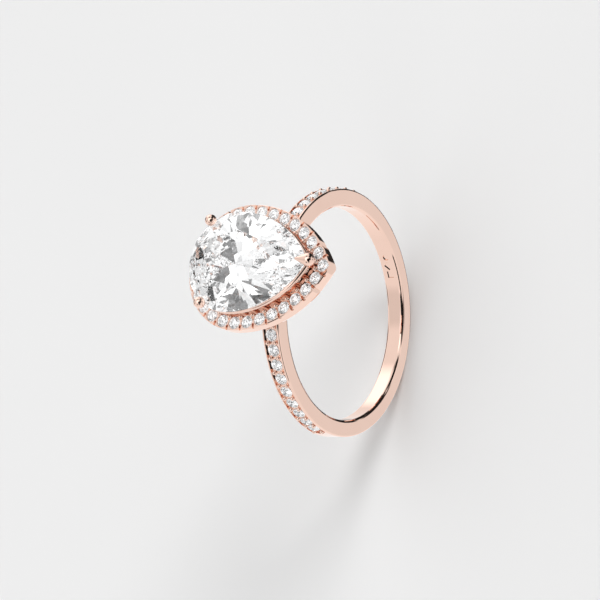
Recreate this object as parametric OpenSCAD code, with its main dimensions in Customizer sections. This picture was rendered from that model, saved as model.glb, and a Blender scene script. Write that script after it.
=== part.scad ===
// Pear-cut halo engagement ring, in millimetres.
// The origin is the centre of the finger hole. The finger axis is Y, the head stands up along +Z,
// and the pear's tip points along -Y.

/* [Finger hole and band] */
// Inside diameter of the ring
finger_d = 17.2; // [14:0.1:21]
// Width of the band along the finger
band_w = 1.6; // [1.3:0.05:2.4]
// Thickness of the band opposite the head
back_t = 1.25; // [1.0:0.05:1.8]
// Thickness of the band under the head
front_t = 1.55; // [1.4:0.05:2.2]
// Radius of the eased edges inside the band
inner_ease = 0.3; // [0.1:0.05:0.35]
// Radius of the eased edges outside the band
outer_ease = 0.16; // [0.04:0.02:0.18]

/* [Shoulder stones] */
// Girdle diameter of a shoulder stone
shoulder_d = 1.02; // [0.8:0.02:1.2]
// Space from one shoulder stone to the next, round the outside of the band
shoulder_space = 0.24; // [0.2:0.01:0.4]
// Space between the saddle and the first shoulder stone
shoulder_start = 0.55; // [0.3:0.05:1.5]
// Stones on each shoulder
shoulder_n = 10; // [4:1:10]
// Width of the polished rail beside the stones
rail_w = 0.18; // [0.1:0.02:0.2]
// Depth of the channel floor below the rails
channel_depth = 0.16; // [0.1:0.02:0.25]

/* [Centre stone] */
// Width of the pear across its round end
stone_w = 8; // [6:0.1:10]
// Length of the pear from its round end to its tip
stone_l = 10.85; // [9.6:0.05:14]
// Height of the crown from the girdle to the table
crown_h = 1.08; // [0.8:0.02:1.4]
// Thickness of the girdle
girdle_h = 0.24; // [0.2:0.02:0.36]
// Depth of the pavilion from the girdle to the culet
pavilion_h = 3.4; // [2.8:0.05:4.2]
// Width of the table as a share of the stone's width
table_share = 0.56; // [0.5:0.01:0.62]

/* [Halo] */
// Number of halo stones, which share the length of the halo
halo_n = 28; // [22:1:31]
// Space from one halo stone to the next
halo_space = 0.11; // [0.08:0.01:0.2]
// Gap between the centre stone's outline and the halo stones, seen from above (below 0 they overlap)
halo_gap = -0.06; // [-0.12:0.02:0.2]
// Thickness of the wall outside the halo stones
halo_rim = 0.08; // [0.06:0.01:0.2]
// Height of the halo's outer wall
halo_wall_h = 1.3; // [1.1:0.05:1.8]
// Rise of the centre stone's girdle above the halo's rim
stone_rise = 1.5; // [1.25:0.05:2]
// Depth of the trench between the beads and the collar
trench_depth = 0.4; // [0.2:0.05:0.6]

/* [Head] */
// Space between the top of the band and the gallery rail
saddle_h = 0.85; // [0.5:0.05:1.4]
// Height of the gallery rail
gallery_h = 0.5; // [0.3:0.05:0.7]
// Width of the gallery rail's wire
gallery_w = 0.42; // [0.3:0.02:0.6]
// Inward step from the centre stone's outline to the middle of the gallery rail
gallery_inset = 2.15; // [1.9:0.05:2.4]
// Gap between the culet and the top of the gallery rail
culet_gap = 0.4; // [0.2:0.05:1]
// Step of the head away from the middle of the band, towards the stone's round end
head_step = 0.17; // [0:0.01:0.3]
// Radius of a claw's shaft at its head
claw_r = 0.33; // [0.26:0.01:0.4]
// Radius of a claw at its foot
claw_foot_r = 0.26; // [0.2:0.01:0.32]
// Direction of the round-end claws, in degrees from the X axis
claw_angle = 35; // [25:1:55]

/* [Hidden] */
$fn = 96;

rose_gold = "#e2b5a0";
white_stone = "#f2f4f6";
solder = 0.01;        // film between two soldered or seated faces
stone_play = 0.03;    // room round a stone's pavilion in its seat
overrun = 1;          // how far a cutter runs past the metal
deg = PI / 180;
reach = 40;           // size of a box that holds the whole ring

// Band: the outer drum stands a little towards the head, so the band thins towards the back
finger_r = finger_d / 2;
outer_r = finger_r + (front_t + back_t) / 2;
outer_shift = (front_t - back_t) / 2;
band_top = outer_r + outer_shift;

// Small round brilliant, as shares of its girdle diameter
small_crown = 0.15;
small_girdle = 0.03;
small_pavilion = 0.43;
small_table = 0.57;

// Pear outline: a half circle, two flank arcs that leave it smoothly, and a tip
round_r = stone_w / 2;
tip_y = stone_l - round_r;
flank_r = round(1000 * (tip_y * tip_y + round_r * round_r) / stone_w) / 1000;
flank_angle = acos((flank_r - round_r) / flank_r);

// Length of the saddle, which reaches both sides of the gallery rail
saddle_l = 2 * (round_r - gallery_inset) + gallery_w;

// Heights of the head, from the band upwards
gallery_z = band_top + saddle_h;
gallery_top = gallery_z + gallery_h;
culet_z = gallery_top + culet_gap;
girdle_z = culet_z + pavilion_h;
crown_z = girdle_z + girdle_h;
table_z = crown_z + crown_h;
halo_top = girdle_z + girdle_h / 2 - stone_rise;
halo_bottom = halo_top - halo_wall_h;

// Shoulder stones, as angles round the finger
shoulder_pitch = shoulder_d + shoulder_space;
shoulder_step = shoulder_pitch / outer_r / deg;
shoulder_first = (saddle_l / 2 + shoulder_start + shoulder_d / 2) / outer_r / deg;

// Halo track, the line through the middles of the halo stones, from the tip to the round end
outline_run = (flank_r * flank_angle + round_r * 90) * deg;
halo_d = (2 * (outline_run + PI * halo_gap) / halo_n - halo_space) / (1 - PI / halo_n);
halo_track = halo_gap + halo_d / 2;
halo_outer = halo_track + halo_d / 2 + halo_rim;
tip_run = halo_track * (90 - flank_angle) * deg;
flank_run = (flank_r + halo_track) * flank_angle * deg;
round_run = (round_r + halo_track) * 90 * deg;
half_run = tip_run + flank_run + round_run;
halo_pitch = 2 * half_run / halo_n;

// Halo stones sit with the table just proud of the rim
table_proud = 0.06;
halo_girdle_z = halo_top + table_proud - small_crown * halo_d;
bead_r = 0.19;
bead_gap = 0.03;      // room between a bead and the stones beside it
bead_in = beside(halo_d, halo_pitch, bead_r + bead_gap);
bead_proud = 0.04;    // rise of a bead's middle above the rim
slot_w = 0.2;
slot_gap = 0.03;      // metal between a slot's inner end and the stones beside it
slot_start = beside(halo_d, halo_pitch, slot_w / 2 + slot_gap);
slot_depth = 0.4;     // at its inner end
slot_mouth = 0.24;    // at the outer wall
azure_r = 0.27;       // light hole under each halo stone

// Step sideways from a row of stones to the place between two of them that clears both by a given amount
function beside(d, pitch, clear) = sqrt(pow(d / 2 + clear, 2) - pow(pitch / 2, 2));

// Collar: a wall inside the halo that carries a round wire under the girdle
collar_out = -0.28;
collar_in = -0.58;
wire_r = 0.22;
wire_out = 0.02;      // step of the wire's outer side from the centre stone's outline
collar_foot = 0.35;   // how far the collar's wall starts above the halo's underside
seat_slope = pavilion_h / round_r;
wire_x = wire_out - wire_r;
wire_z = girdle_z - stone_play + wire_x * seat_slope - wire_r * norm([1, seat_slope]);

function two_digits(i) = i < 10 ? str("0", i) : str(i);

// ---- Points along the halo ----

// Place on the halo track at a run from the tip: [x, y, direction of the outward normal]
function half_track(run) =
    run < tip_run ?
        let (a = -90 + run / halo_track / deg)
        [halo_track * cos(a), -tip_y + halo_track * sin(a), a]
    : run < tip_run + flank_run ?
        let (a = -flank_angle + (run - tip_run) / (flank_r + halo_track) / deg)
        [round_r - flank_r + (flank_r + halo_track) * cos(a), (flank_r + halo_track) * sin(a), a]
    :
        let (a = (run - tip_run - flank_run) / (round_r + halo_track) / deg)
        [(round_r + halo_track) * cos(a), (round_r + halo_track) * sin(a), a];

// The same all the way round, back to the tip along the other side
function track(run) =
    run <= half_run ? half_track(run)
    : let (p = half_track(2 * half_run - run)) [-p[0], p[1], 180 - p[2]];

// Moves children to the track, with local X along the outward normal
module on_track(run, z) {
    p = track(run);
    translate([p[0], p[1], z]) rotate([0, 0, p[2]]) children();
}

// ---- Sweeps round the pear ----

// One flank, from the round end to the middle of the tip
module pear_flank() {
    intersection() {
        translate([round_r - flank_r, 0, 0]) mirror([0, 1, 0])
            rotate_extrude(angle = 90) translate([flank_r, 0]) children();
        translate([0, -reach, -reach / 2]) cube([reach, reach, 2 * reach]);
    }
}

// What is cut away to round the tip of a sweep whose outer wall is a given step from the outline
module tip_rounding(step) {
    r = 1.8 * step;
    apex = 0.93 * step;
    y = -tip_y - apex + r;
    difference() {
        translate([-reach / 2, y - reach, -reach / 2]) cube([reach, reach - 0.4 * r, 2 * reach]);
        translate([0, y, -reach]) cylinder(r = r, h = 3 * reach);
    }
}

// Sweeps a profile round the pear: profile X is the step outwards from the outline, profile Y is the height
module pear_sweep() {
    rotate_extrude(angle = 180) translate([round_r, 0]) children();
    pear_flank() children();
    mirror([1, 0, 0]) pear_flank() children();
}

// ---- Brilliant-cut stones ----

// Crossing of two lines, each given by a unit normal and its distance from the origin
function crossing(n1, d1, n2, d2) =
    let (det = n1[0] * n2[1] - n1[1] * n2[0])
    [(d1 * n2[1] - d2 * n1[1]) / det, (n1[0] * d2 - n2[0] * d1) / det];

function flat(p) = [p[0], p[1]];
function at(list, i) = list[(i + len(list)) % len(list)];

// Distance of a main facet's plane from the axis at a level between 0, its foot, and 1, its head
function main_reach(n, foot, head, level) = n * foot + (n * head - n * foot) * level;

// Corner where two neighbouring main facets meet at a level
function main_corner(n, feet, heads, i, level) =
    crossing(
        at(n, i), main_reach(at(n, i), at(feet, i), at(heads, i), level),
        at(n, i + 1), main_reach(at(n, i + 1), at(feet, i + 1), at(heads, i + 1), level));

// Height at p of the plane through a, b and c
function plane_z(a, b, c, p) =
    let (n = cross(b - a, c - a))
    a[2] - (n[0] * (p[0] - a[0]) + n[1] * (p[1] - a[1])) / n[2];

// A brilliant with its lower girdle edge at height 0. The outline runs counter-clockwise with a main facet
// at every 2 * fine points, starting at point 0, and normals holds the outward direction of each main.
module brilliant(outline, normals, heart, culet, fine, crown, girdle, pavilion, table) {
    mains = len(normals);
    rim_n = len(outline);
    star_level = 0.5;
    half_level = 0.76;
    feet = [for (i = [0 : mains - 1]) outline[2 * fine * i]];
    table_pts = [for (f = feet) heart + (f - heart) * table];
    star_pts = [for (i = [0 : mains - 1]) main_corner(normals, feet, table_pts, i, star_level)];
    low_pts = [for (i = [0 : mains - 1])
        main_corner(normals, feet, [for (f = feet) culet], i, half_level)];

    crown_top = girdle + crown;
    tables = [for (p = table_pts) [p[0], p[1], crown_top]];
    stars = [for (p = star_pts) [p[0], p[1], girdle + crown * star_level]];
    lows = [for (p = low_pts) [p[0], p[1], -pavilion * half_level]];
    // The upper and lower halves are flat, so the girdle's edges dip between their corners
    uppers = [for (k = [0 : rim_n - 1]) edge_point(outline, stars, k, fine, girdle)];
    lowers = [for (k = [0 : rim_n - 1]) edge_point(outline, lows, k, fine, 0)];

    first_star = mains;
    first_upper = 2 * mains;
    first_lower = first_upper + rim_n;
    first_low = first_lower + rim_n;
    bottom = first_low + mains;
    faces = concat(
        [[for (i = [mains - 1 : -1 : 0]) i]],
        [for (i = [0 : mains - 1]) [i, (i + 1) % mains, first_star + i]],
        [for (i = [0 : mains - 1])
            [i, first_star + i, first_upper + 2 * fine * i, first_star + (i + mains - 1) % mains]],
        [for (i = [0 : mains - 1]) for (h = [0, 1])
            concat([first_star + i], [for (k = [fine : -1 : 0])
                first_upper + (2 * fine * i + fine * h + k) % rim_n])],
        [for (k = [0 : rim_n - 1])
            [first_upper + k, first_upper + (k + 1) % rim_n,
             first_lower + (k + 1) % rim_n, first_lower + k]],
        [for (i = [0 : mains - 1]) for (h = [0, 1])
            concat([first_low + i], [for (k = [0 : fine])
                first_lower + (2 * fine * i + fine * h + k) % rim_n])],
        [for (i = [0 : mains - 1])
            [bottom, first_low + (i + mains - 1) % mains, first_lower + 2 * fine * i, first_low + i]]
    );
    polyhedron(concat(tables, stars, uppers, lowers, lows, [[culet[0], culet[1], -pavilion]]),
        faces, convexity = 4);
}

// Point k of a girdle edge, on the plane of the half facet that it borders
function edge_point(outline, corners, k, fine, z) =
    let (
        start = fine * floor(k / fine),
        p = outline[k],
        a = at(outline, start),
        b = at(outline, start + fine)
    )
    k == start ? [p[0], p[1], z]
    : [p[0], p[1], plane_z([a[0], a[1], z], [b[0], b[1], z], corners[floor(k / (2 * fine))], p)];

// Outline of the pear at a share of the way from the tip (0) round the +X side to the round end (1)
function pear_point(share) =
    let (
        run = share * (flank_r * flank_angle + round_r * 90),
        on_flank = run < flank_r * flank_angle,
        a = on_flank ? run / flank_r - flank_angle : (run - flank_r * flank_angle) / round_r
    )
    on_flank ? [round_r - flank_r + flank_r * cos(a), flank_r * sin(a)]
    : [round_r * cos(a), round_r * sin(a)];

function pear_normal(share) =
    share == 0 ? [0, -1]
    : let (e = 0.001, t = pear_point(min(1, share + e)) - pear_point(share - e), n = norm(t))
      share == 1 ? [0, 1] : [t[1] / n, -t[0] / n];

// The same all the way round, in quarters of the loop counted from the tip
function loop_point(u) = u <= 1 ? pear_point(u) : let (p = pear_point(2 - u)) [-p[0], p[1]];
function loop_normal(u) = u <= 1 ? pear_normal(u) : let (n = pear_normal(2 - u)) [-n[0], n[1]];

module centre_brilliant() {
    translate([0, 0, girdle_z]) {
        mains = 8;
        fine = 4;
        rim_n = 2 * fine * mains;
        brilliant(
            outline = [for (k = [0 : rim_n - 1]) loop_point(2 * k / rim_n)],
            normals = [for (i = [0 : mains - 1]) loop_normal(2 * i / mains)],
            heart = [0, round_r - stone_l * 0.46],
            culet = [0, 0],
            fine = fine, crown = crown_h, girdle = girdle_h,
            pavilion = pavilion_h, table = table_share);
    }
}

module centre_stone() {
    color(white_stone, 0.6) centre_brilliant();
}

// A small round brilliant, table up, with its lower girdle edge at height 0
module round_stone(d) {
    mains = 8;
    color(white_stone, 0.6)
    brilliant(
        outline = [for (k = [0 : 2 * mains - 1]) d / 2 * [cos(180 * k / mains), sin(180 * k / mains)]],
        normals = [for (i = [0 : mains - 1]) [cos(360 * i / mains), sin(360 * i / mains)]],
        heart = [0, 0], culet = [0, 0], fine = 1,
        crown = small_crown * d, girdle = small_girdle * d,
        pavilion = small_pavilion * d, table = small_table);
}

// The hole that a small stone sits in: a straight wall, a cone under the pavilion, and a pilot hole
module stone_seat(d, pilot_r, pilot_h) {
    wall_r = d / 2 + solder;
    cone_h = small_pavilion * d + stone_play;
    cylinder(r = wall_r, h = overrun);
    translate([0, 0, -cone_h]) cylinder(r1 = 0.02, r2 = wall_r, h = cone_h);
    translate([0, 0, -pilot_h]) cylinder(r = pilot_r, h = pilot_h);
}

// A raised grain of metal: a ball on a thinner post that is rooted in the metal
module grain(r, rise) {
    cylinder(r = 0.8 * r, h = rise, $fn = 24);
    translate([0, 0, rise]) sphere(r = r, $fn = 24);
}

// ---- Band ----

// Turns a solid about Z into one about the finger axis
module about_finger() rotate([90, 0, 0]) children();

// Places children on the outside of the band, with local Z outwards, at an angle from the head
module on_band(angle) {
    translate([0, 0, outer_shift]) rotate([0, angle, 0]) translate([0, 0, outer_r]) children();
}

function quarter(cx, cy, r, from) = [for (a = [0 : 15 : 90]) [cx + r * cos(from + a), cy + r * sin(from + a)]];

module band_drum() {
    x = outer_r - outer_ease;
    y = band_w / 2 - outer_ease;
    translate([0, 0, outer_shift]) about_finger() rotate_extrude($fn = 180)
        polygon(concat([[0, -band_w / 2]], quarter(x, -y, outer_ease, -90),
            quarter(x, y, outer_ease, 0), [[0, band_w / 2]]));
}

// The finger hole, opening out at both edges
module finger_hole() {
    x = finger_r + inner_ease;
    y = band_w / 2 - inner_ease;
    end = band_w / 2 + overrun;
    about_finger() rotate_extrude($fn = 180)
        polygon(concat([[0, -end], [x, -end]],
            [for (a = [270 : -15 : 180]) [x + inner_ease * cos(a), -y + inner_ease * sin(a)]],
            [for (a = [180 : -15 : 90]) [x + inner_ease * cos(a), y + inner_ease * sin(a)]],
            [[x, end], [0, end]]));
}

// Angle of each shoulder stone from the head
function shoulder_angle(i) = shoulder_first + (i - 1) * shoulder_step;

// The sunk channel along one shoulder, with a pointed end towards the back of the band
module shoulder_channel() {
    start = shoulder_first - shoulder_step / 2;
    finish = shoulder_angle(shoulder_n) + shoulder_step * 0.6;
    channel_w = band_w - 2 * rail_w;
    translate([0, 0, outer_shift]) about_finger()
        rotate([0, 0, 90 - finish]) rotate_extrude(angle = finish - start, $fn = 180)
            translate([outer_r - channel_depth, -channel_w / 2]) square([overrun, channel_w]);
    on_band(finish) rotate([0, 0, 45])
        translate([0, 0, overrun / 2 - channel_depth])
            cube([channel_w / sqrt(2), channel_w / sqrt(2), overrun], center = true);
}

// Height of a shoulder stone's lower girdle edge above the outside of the band
shoulder_girdle_z = table_proud - small_crown * shoulder_d - small_girdle * shoulder_d;

// A pair of beads between two shoulder stones, raised from the channel floor
module shoulder_beads() {
    shoulder_bead_r = 0.17;
    shoulder_bead_gap = 0.05;
    shoulder_bead_y = beside(shoulder_d, shoulder_pitch, shoulder_bead_r + shoulder_bead_gap);
    for (side = [-1, 1]) translate([0, side * shoulder_bead_y, -2 * channel_depth])
        grain(shoulder_bead_r, 2 * channel_depth);
}

// Three shallow punch marks inside the band: a disc, a lozenge and a square
module punch_marks() {
    mark_angle = 138;
    mark_step = 5.2;
    mark_size = 0.55;
    mark_depth = 0.08;
    for (i = [-1 : 1]) rotate([0, mark_angle + i * mark_step, 0])
        translate([0, 0, finger_r - overrun + mark_depth]) {
            if (i == -1) cylinder(d = mark_size, h = overrun, $fn = 48);
            if (i == 0) rotate([0, 0, 45]) translate([-mark_size / 2, -mark_size / 2, 0])
                cube([mark_size, mark_size, overrun]);
            if (i == 1) translate([-mark_size / 2, -mark_size / 2, 0])
                cube([mark_size, mark_size, overrun]);
        }
}

module shank() {
    pilot_r = 0.18;
    pilot_h = 0.62;
    color(rose_gold) {
        difference() {
            band_drum();
            finger_hole();
            punch_marks();
            for (side = [0, 1]) mirror([side, 0, 0]) {
                shoulder_channel();
                for (i = [1 : shoulder_n]) on_band(shoulder_angle(i))
                    translate([0, 0, shoulder_girdle_z]) stone_seat(shoulder_d, pilot_r, pilot_h);
            }
        }
        for (side = [0, 1]) mirror([side, 0, 0])
            for (i = [1 : shoulder_n]) on_band(shoulder_angle(i) + shoulder_step / 2) shoulder_beads();
    }
}

module shoulder_stone(i, side) {
    mirror([side < 0 ? 1 : 0, 0, 0]) on_band(shoulder_angle(i))
        translate([0, 0, shoulder_girdle_z]) round_stone(shoulder_d);
}

// ---- Head ----

// Places the head over the band
module on_head() translate([0, head_step, 0]) children();

// The block between the top of the band and the gallery rail
module head_saddle() {
    saddle_w = band_w - 2 * outer_ease;
    color(rose_gold) difference() {
        translate([-saddle_l / 2, -saddle_w / 2, 0]) cube([saddle_l, saddle_w, gallery_z - solder]);
        translate([0, 0, outer_shift]) about_finger()
            cylinder(r = outer_r + solder, h = band_w + overrun, center = true, $fn = 180);
    }
}

// The smaller pear-shaped wire that the claws stand on
module gallery_rail() {
    ease = 0.08;
    half = gallery_w / 2;
    color(rose_gold) pear_sweep() translate([-gallery_inset, gallery_z]) polygon([
        [-half + ease, 0], [half - ease, 0], [half, ease], [half, gallery_h - ease],
        [half - ease, gallery_h], [-half + ease, gallery_h], [-half, gallery_h - ease], [-half, ease]]);
}

// The space that the centre stone takes, a little larger than the stone at its edge, above and below
module stone_space() {
    depth = round_r * 0.6;
    pear_sweep() polygon([
        [solder, girdle_z - stone_play], [solder, crown_z + solder],
        [-depth, crown_z + solder], [-depth, girdle_z - stone_play - depth * seat_slope]]);
    for (step = [2 * solder, -stone_play]) translate([0, 0, step]) centre_brilliant();
}

// A claw's shaft, leaning out from the gallery rail to the girdle
module claw_shaft(foot, head, extra) {
    run = head - foot;
    lean = acos(run[2] / norm(run));
    translate(foot) rotate([0, lean, atan2(run[1], run[0])])
        translate([0, 0, -overrun]) cylinder(r1 = claw_foot_r + extra, r2 = claw_r + extra,
            h = norm(run) + overrun, $fn = 48);
}

// Foot and head of a round-end claw on the +X side
function claw_foot() =
    let (r = round_r - gallery_inset) [r * cos(claw_angle), r * sin(claw_angle), gallery_top];
function claw_head() =
    let (r = round_r + 0.04) [r * cos(claw_angle), r * sin(claw_angle), crown_z + 0.3];

// Foot and head of the tip claw, which is a little thicker
tip_claw_extra = 0.04;
gallery_tip_y = sqrt(pow(flank_r - gallery_inset, 2) - pow(flank_r - round_r, 2));
function tip_foot() = [0, -gallery_tip_y, gallery_top];
function tip_head() = [0, -tip_y - 0.2, crown_z + 0.02];

// Everything above the gallery rail
module above_gallery() {
    translate([-reach / 2, -reach / 2, gallery_top + solder]) cube(reach);
}

// A round-end claw: a leaning shaft with a round head bent over the stone's edge
module round_claw() {
    color(rose_gold) difference() {
        intersection() {
            union() {
                claw_shaft(claw_foot(), claw_head(), 0);
                translate(claw_head()) sphere(r = claw_r + 0.13);
            }
            above_gallery();
        }
        stone_space();
    }
}

module claw_right() { round_claw(); }
module claw_left() { mirror([1, 0, 0]) round_claw(); }

// A ball that tapers along local Z to a smaller ball, as if to a point at a distance from its middle
module teardrop(ball_r, end_r, point) {
    taper = asin(ball_r / point);
    end_z = point * (1 - end_r / ball_r);
    sphere(r = ball_r);
    translate([0, 0, ball_r * sin(taper)])
        cylinder(r1 = ball_r * cos(taper), r2 = end_r * cos(taper),
            h = end_z - (ball_r - end_r) * sin(taper));
    translate([0, 0, end_z]) sphere(r = end_r);
}

// The tip claw: a leaning shaft with a leaf-shaped head over the stone's tip
module claw_tip() {
    tip_slope = 0.44;     // rise of the leaf's middle line over the crown
    color(rose_gold) difference() {
        intersection() {
            union() {
                claw_shaft(tip_foot(), tip_head(), tip_claw_extra);
                translate(tip_head()) rotate([-90 + atan(tip_slope), 0, 0])
                    teardrop(ball_r = claw_r + 0.2, end_r = 0.1, point = 1.2);
            }
            above_gallery();
        }
        stone_space();
    }
}

// The collar under the centre stone's girdle, notched where the claws cross it
module stone_collar() {
    seat_z = girdle_z - stone_play;
    color(rose_gold) difference() {
        pear_sweep() {
            polygon([
                [collar_in, halo_bottom + collar_foot], [collar_out, halo_bottom + collar_foot],
                [collar_out, wire_z + wire_r / 2], [collar_in, seat_z + collar_in * seat_slope]]);
            translate([wire_x, wire_z]) circle(r = wire_r);
        }
        claw_shaft(claw_foot(), claw_head(), solder);
        mirror([1, 0, 0]) claw_shaft(claw_foot(), claw_head(), solder);
        claw_shaft(tip_foot(), tip_head(), tip_claw_extra + solder);
    }
}

// A slot between two halo stones: a pit beside the stones and a round-bottomed groove out through the rim
module rim_slot() {
    translate([0, 0, -slot_depth]) cylinder(d = slot_w, h = overrun, $fn = 24);
    translate([0, 0, -slot_mouth + slot_w / 2]) {
        rotate([0, 90, 0]) cylinder(d = slot_w, h = overrun, $fn = 24);
        translate([0, -slot_w / 2, 0]) cube([overrun, slot_w, overrun]);
    }
}

// The halo: a pear-shaped border with seats, beads, outer slots and light holes
module halo_frame() {
    wall_in = collar_out + solder;
    trench_out = halo_track - bead_in + bead_r / 2;
    top_ease = 0.05;
    foot_in = 0.4;
    foot_up = 0.45;
    color(rose_gold) {
        difference() {
            pear_sweep() polygon([
                [wall_in, halo_bottom], [halo_outer - foot_in, halo_bottom],
                [halo_outer - foot_in * 0.3, halo_bottom + foot_up * 0.35],
                [halo_outer, halo_bottom + foot_up], [halo_outer, halo_top - top_ease],
                [halo_outer - top_ease, halo_top], [trench_out, halo_top],
                [trench_out, halo_top - trench_depth], [wall_in, halo_top - trench_depth]]);
            tip_rounding(halo_outer);
            for (i = [0 : halo_n - 1]) {
                on_track(i * halo_pitch, halo_girdle_z - small_girdle * halo_d)
                    stone_seat(halo_d, azure_r, halo_wall_h + overrun);
                on_track((i + 0.5) * halo_pitch, halo_top) translate([slot_start, 0, 0]) rim_slot();
            }
        }
        for (i = [0 : halo_n - 1]) on_track((i + 0.5) * halo_pitch, halo_top - trench_depth - bead_r)
            translate([-bead_in, 0, 0]) grain(bead_r, trench_depth + bead_r + bead_proud);
    }
}

module halo_stone(i) {
    on_track((i - 1) * halo_pitch, halo_girdle_z - small_girdle * halo_d) round_stone(halo_d);
}

shank();
head_saddle();
on_head() gallery_rail();
on_head() stone_collar();
on_head() halo_frame();
on_head() claw_left();
on_head() claw_right();
on_head() claw_tip();
on_head() centre_stone();
for (i = [1 : halo_n])
    on_head() halo_stone(i);
for (i = [1 : shoulder_n]) {
    shoulder_stone(i, -1);
    shoulder_stone(i, 1);
}
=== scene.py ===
"""A rose gold halo engagement ring with a pear-cut centre stone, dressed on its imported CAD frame."""
import math

import bpy
from mathutils import Matrix, Vector


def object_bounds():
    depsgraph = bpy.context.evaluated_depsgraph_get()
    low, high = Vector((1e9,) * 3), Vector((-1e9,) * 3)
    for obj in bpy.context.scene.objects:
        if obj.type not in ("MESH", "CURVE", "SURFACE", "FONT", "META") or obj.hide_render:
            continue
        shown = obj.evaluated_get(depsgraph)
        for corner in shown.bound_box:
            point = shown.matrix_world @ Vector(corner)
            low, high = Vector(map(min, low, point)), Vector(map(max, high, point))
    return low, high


MM = 0.001

# ---- Camera: a long lens that looks down on the head from the tip's side, rolled on its axis ----

VIEW_AZIMUTH = math.radians(-22.5)
VIEW_ELEVATION = math.radians(53.7)
VIEW_ROLL = math.radians(-63.85)
VIEW_DISTANCE = 300 * MM
LENS = 223.3
SENSOR_WIDTH = 36
CLIP_START = 0.01
CLIP_END = 10
# The point that the camera looks at, from the frame's origin, along the picture's right and up
AIM_RIGHT = -3.127 * MM
AIM_UP = 1.08 * MM


def make_camera():
    back = Vector((
        math.sin(VIEW_AZIMUTH) * math.cos(VIEW_ELEVATION),
        -math.cos(VIEW_AZIMUTH) * math.cos(VIEW_ELEVATION),
        math.sin(VIEW_ELEVATION)))
    level_right = Vector((math.cos(VIEW_AZIMUTH), math.sin(VIEW_AZIMUTH), 0))
    level_up = back.cross(level_right)
    right = math.cos(VIEW_ROLL) * level_right + math.sin(VIEW_ROLL) * level_up
    up = back.cross(right)
    camera_data = bpy.data.cameras.new("camera")
    camera_data.lens = LENS
    camera_data.sensor_width = SENSOR_WIDTH
    camera_data.clip_start = CLIP_START
    camera_data.clip_end = CLIP_END
    camera = bpy.data.objects.new("camera", camera_data)
    bpy.context.scene.collection.objects.link(camera)
    place = AIM_RIGHT * right + AIM_UP * up + VIEW_DISTANCE * back
    camera.matrix_world = Matrix.Translation(place) @ Matrix((right, up, back)).transposed().to_4x4()
    bpy.context.scene.camera = camera


make_camera()
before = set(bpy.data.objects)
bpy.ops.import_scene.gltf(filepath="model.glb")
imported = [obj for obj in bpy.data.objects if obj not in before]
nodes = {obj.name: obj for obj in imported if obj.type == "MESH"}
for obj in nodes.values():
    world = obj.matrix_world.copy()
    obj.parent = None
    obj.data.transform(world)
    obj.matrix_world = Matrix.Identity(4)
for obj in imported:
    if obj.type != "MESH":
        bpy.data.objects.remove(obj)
cad_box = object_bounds()

# ---- Node helpers ----


class Graph:
    """Builds a node tree: each call adds a node, links or sets its inputs, and returns an output."""

    def __init__(self, tree):
        tree.nodes.clear()
        self.tree = tree

    def add(self, kind, inputs=(), output=0, **settings):
        node = self.tree.nodes.new(kind)
        for name, value in settings.items():
            setattr(node, name, value)
        for name, value in dict(inputs).items():
            if isinstance(value, bpy.types.NodeSocket):
                self.tree.links.new(value, node.inputs[name])
            else:
                node.inputs[name].default_value = value
        return node.outputs[output] if len(node.outputs) else node

    def math(self, operation, *values):
        return self.add("ShaderNodeMath", dict(enumerate(values)), operation=operation)

    def dot(self, a, b):
        return self.add("ShaderNodeVectorMath", {0: a, 1: b}, output="Value", operation="DOT_PRODUCT")

    def noise(self, vector, scale, detail):
        return self.add(
            "ShaderNodeTexNoise", {"Vector": vector, "Scale": scale, "Detail": detail}, output="Fac")

    def stretched_noise(self, vector, scale, detail, turn=(0, 0, 0)):
        """Noise with its own scale on each axis, so that it draws out into lines."""
        mapped = self.add("ShaderNodeMapping", {"Vector": vector, "Rotation": turn, "Scale": scale})
        return self.noise(mapped, 1.0, detail)

    def remap(self, value, low, high, to_low, to_high):
        """From low..high to to_low..to_high, held at the ends."""
        return self.add("ShaderNodeMapRange", {
            "Value": value, "From Min": low, "From Max": high, "To Min": to_low, "To Max": to_high})

    def step(self, value, low, high):
        """0 below low, 1 above high, and a smooth step between."""
        return self.add(
            "ShaderNodeMapRange", {"Value": value, "From Min": low, "From Max": high},
            interpolation_type="SMOOTHSTEP")

    def blend(self, factor, a, b):
        """From colour a to colour b."""
        return self.add("ShaderNodeMix", {0: factor, 6: a, 7: b}, output=2, data_type="RGBA")

    def between(self, factor, a, b):
        """From number a to number b."""
        return self.add("ShaderNodeMix", {0: factor, 2: a, 3: b}, output=0, data_type="FLOAT")


# ---- Studio: a white room with black flags, as a jeweller's light tent has ----

ROOM = 1.0
BACKDROP = 0.905
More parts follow.
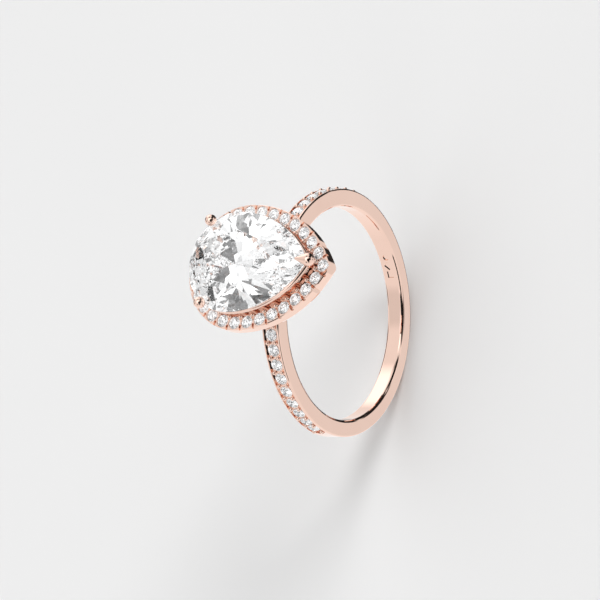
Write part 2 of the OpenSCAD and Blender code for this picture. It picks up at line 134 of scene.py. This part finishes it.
# The pale cards are soft boxes, the dark ones are flags, and a later card covers an earlier one. Each has
# the direction it lies in, half its width and its soft edge in degrees, and its brightness.
CARDS = [
    ((-0.55, 0.0, -0.80), 42, 24, 1.08),
    ((-0.10, -0.20, 0.97), 28, 10, 1.9),
    ((-0.30, 0.55, 0.78), 16, 12, 0.82),
    ((0.80, 0.55, 0.20), 20, 22, 1.7),
    ((0.20, -0.57, -0.80), 24, 16, 0.91),
    ((0.00, -0.85, 0.50), 20, 5, 0.02),
    ((0.65, -0.68, 0.35), 20, 5, 0.02),
    ((0.90, -0.40, -0.10), 20, 5, 0.02),
    ((0.90, -0.10, -0.40), 20, 5, 0.02),
    ((0.64, -0.66, -0.40), 14, 5, 0.02),
    ((0.80, 0.00, -0.60), 18, 5, 0.02),
    ((0.60, -0.24, -0.76), 15, 5, 0.02),
    ((0.52, 0.10, -0.85), 14, 5, 0.03),
    ((0.42, 0.34, -0.84), 12, 5, 0.03),
    ((0.40, -0.18, -0.90), 12, 5, 0.03),
    ((0.09, -0.93, -0.35), 8, 5, 0.03),
    ((0.24, 0.95, 0.00), 16, 5, 0.03),
    ((-0.30, -0.57, 0.76), 25, 3, 0.01),
    ((-0.75, -0.55, 0.35), 13, 4, 0.02),
    ((0.62, 0.02, 0.78), 10, 4, 0.02),
    ((-0.85, 0.10, 0.50), 10, 4, 0.02),
    ((-0.30, 0.92, 0.25), 10, 4, 0.02),
]

KEY_TOWARDS = (0.70, -0.42, 0.70)
KEY_ENERGY = 1.0
KEY_WIDTH = math.radians(24)
FLOOR_HALF = 1.5
FLOOR_GRAIN = 60.0
FLOOR_DARK = (0.79, 0.79, 0.79, 1)
FLOOR_PALE = (0.81, 0.81, 0.81, 1)
LIGHT_BOUNCES = 32


def make_room():
    """The white room and its cards. The camera itself sees a plain backdrop instead."""
    world = bpy.data.worlds.new("studio")
    world.use_nodes = True
    bpy.context.scene.world = world
    g = Graph(world.node_tree)
    direction = g.add("ShaderNodeTexCoord", output="Generated")
    light = ROOM
    for towards, half_width, edge, brightness in CARDS:
        cosine = g.dot(direction, tuple(Vector(towards).normalized()))
        low = math.cos(math.radians(half_width + edge / 2))
        high = math.cos(math.radians(half_width - edge / 2))
        inside = g.step(cosine, low, high)
        light = g.between(inside, light, brightness)
    seen = g.add("ShaderNodeLightPath", output="Is Camera Ray")
    shown = g.between(seen, light, BACKDROP)
    background = g.add("ShaderNodeBackground", {"Color": (1, 1, 1, 1), "Strength": shown})
    g.add("ShaderNodeOutputWorld", {"Surface": background})


def make_key_light():
    """A broad soft light from above, on the +X and -Y side, which throws the ring's shadow on the floor."""
    data = bpy.data.lights.new("key", "SUN")
    data.energy = KEY_ENERGY
    data.angle = KEY_WIDTH
    light = bpy.data.objects.new("key", data)
    bpy.context.scene.collection.objects.link(light)
    light.rotation_euler = Vector(KEY_TOWARDS).to_track_quat("Z", "Y").to_euler()
    light.visible_glossy = False
    light.visible_transmission = False


def make_floor():
    """A pale floor under the ring. Neither reflections nor light through the stones see it."""
    z = cad_box[0].z
    corners = [(x * FLOOR_HALF, y * FLOOR_HALF, z) for x, y in ((-1, -1), (1, -1), (1, 1), (-1, 1))]
    mesh = bpy.data.meshes.new("floor")
    mesh.from_pydata(corners, [], [(0, 1, 2, 3)])
    floor = bpy.data.objects.new("floor", mesh)
    bpy.context.scene.collection.objects.link(floor)
    floor.visible_glossy = False
    floor.visible_transmission = False
    material = bpy.data.materials.new("floor")
    material.use_nodes = True
    g = Graph(material.node_tree)
    grain = g.add("ShaderNodeTexNoise", {"Scale": FLOOR_GRAIN, "Detail": 4.0}, output="Fac")
    colour = g.blend(grain, FLOOR_DARK, FLOOR_PALE)
    shader = g.add("ShaderNodeBsdfDiffuse", {"Color": colour})
    g.add("ShaderNodeOutputMaterial", {"Surface": shader})
    mesh.materials.append(material)


def set_light_paths():
    """Enough bounces for the cut stones, which turn grey with the usual few."""
    cycles = bpy.context.scene.cycles
    cycles.max_bounces = LIGHT_BOUNCES
    cycles.glossy_bounces = LIGHT_BOUNCES
    cycles.transmission_bounces = LIGHT_BOUNCES


# ---- Materials: noise scales are in cycles per metre ----

GOLD_DEEP = (0.845, 0.595, 0.495, 1)
GOLD_PALE = (0.885, 0.65, 0.55, 1)
CLOUD_SCALE = 350.0
PATCH_SCALE = 1600.0
PATCH_LOW, PATCH_HIGH = 0.3, 0.7
# The smoothest and the roughest patches, as shares of a gold's own roughness
SMOOTHEST, ROUGHEST = 0.5, 1.4
HAIR_SCALE = (500, 9000, 500)
HAIR_TURN = (0.6, 0.9, 0.4)
HAIR_LOW, HAIR_HIGH = 0.66, 0.72
HAIR_DEPTH = 0.5
BUMP_STRENGTH = 0.03
BUMP_DISTANCE = 0.00001
STONE_TINT = (0.97, 0.98, 0.99, 1)
STONE_CLEAR = (1, 1, 1, 1)
STONE_IOR = 2.4
WEAR_LOW, WEAR_HIGH = 0.62, 0.9


def rose_gold(name, roughness, lines, scratch):
    """Polished rose gold: an uneven tone, buffing lines, and hairline scratches.

    lines is the buffing noise's scale on each axis; scratch is the roughness that a hairline adds."""
    material = bpy.data.materials.new(name)
    material.use_nodes = True
    g = Graph(material.node_tree)
    place = g.add("ShaderNodeTexCoord", output="Object")
    clouds = g.noise(place, CLOUD_SCALE, 3.0)
    patches = g.noise(place, PATCH_SCALE, 2.0)
    buffing = g.stretched_noise(place, lines, 2.0)
    hairlines = g.step(g.stretched_noise(place, HAIR_SCALE, 1.0, HAIR_TURN), HAIR_LOW, HAIR_HIGH)
    colour = g.blend(clouds, GOLD_DEEP, GOLD_PALE)
    polish = g.remap(patches, PATCH_LOW, PATCH_HIGH, roughness * SMOOTHEST, roughness * ROUGHEST)
    rough = g.math("MULTIPLY_ADD", hairlines, scratch, polish)
    height = g.math("SUBTRACT", buffing, g.math("MULTIPLY", hairlines, HAIR_DEPTH))
    bump = g.add("ShaderNodeBump", {"Strength": BUMP_STRENGTH, "Distance": BUMP_DISTANCE, "Height": height})
    shader = g.add("ShaderNodeBsdfPrincipled", {
        "Base Color": colour, "Metallic": 1.0, "Roughness": rough, "Normal": bump})
    g.add("ShaderNodeOutputMaterial", {"Surface": shader})
    return material


def clear_stone(name, wear_scale, wear_amount):
    """A colourless cut stone: clear, smooth facets with a little wear where the noise is high."""
    material = bpy.data.materials.new(name)
    material.use_nodes = True
    g = Graph(material.node_tree)
    place = g.add("ShaderNodeTexCoord", output="Object")
    wear = g.noise(place, wear_scale, 4.0)
    rough = g.remap(wear, WEAR_LOW, WEAR_HIGH, 0.0, wear_amount)
    colour = g.blend(wear, STONE_TINT, STONE_CLEAR)
    shader = g.add("ShaderNodeBsdfPrincipled", {
        "Base Color": colour, "Roughness": rough, "IOR": STONE_IOR, "Transmission Weight": 1.0})
    g.add("ShaderNodeOutputMaterial", {"Surface": shader})
    return material


def dress(names, material):
    for name in names:
        nodes[name].data.materials.clear()
        nodes[name].data.materials.append(material)


# ---- The scene ----

make_room()
make_key_light()
make_floor()
set_light_paths()
bpy.context.scene.view_settings.view_transform = "Standard"

band = ["shank"]
saddle = ["head_saddle"]
head = ["gallery_rail", "stone_collar", "halo_frame"]
claws = ["claw_left", "claw_right", "claw_tip"]
small_stones = [name for name in nodes if name.startswith(("halo_stone_", "left_stone_", "right_stone_"))]

# The buffing lines run round the finger on the band, and level round the head
dress(band, rose_gold("band_gold", 0.045, (900, 14000, 900), 0.05))
dress(head, rose_gold("head_gold", 0.05, (1500, 1500, 12000), 0.04))
dress(claws, rose_gold("claw_gold", 0.03, (4000, 4000, 4000), 0.03))
dress(saddle, rose_gold("seat_gold", 0.12, (3000, 3000, 9000), 0.06))
dress(["centre_stone"], clear_stone("large_stone", 900.0, 0.015))
dress(small_stones, clear_stone("small_stone", 4000.0, 0.03))

# A set stone looks bright and colourless, so light that has passed through one does not pick up the pink
for name in band + saddle + head:
    nodes[name].visible_transmission = False
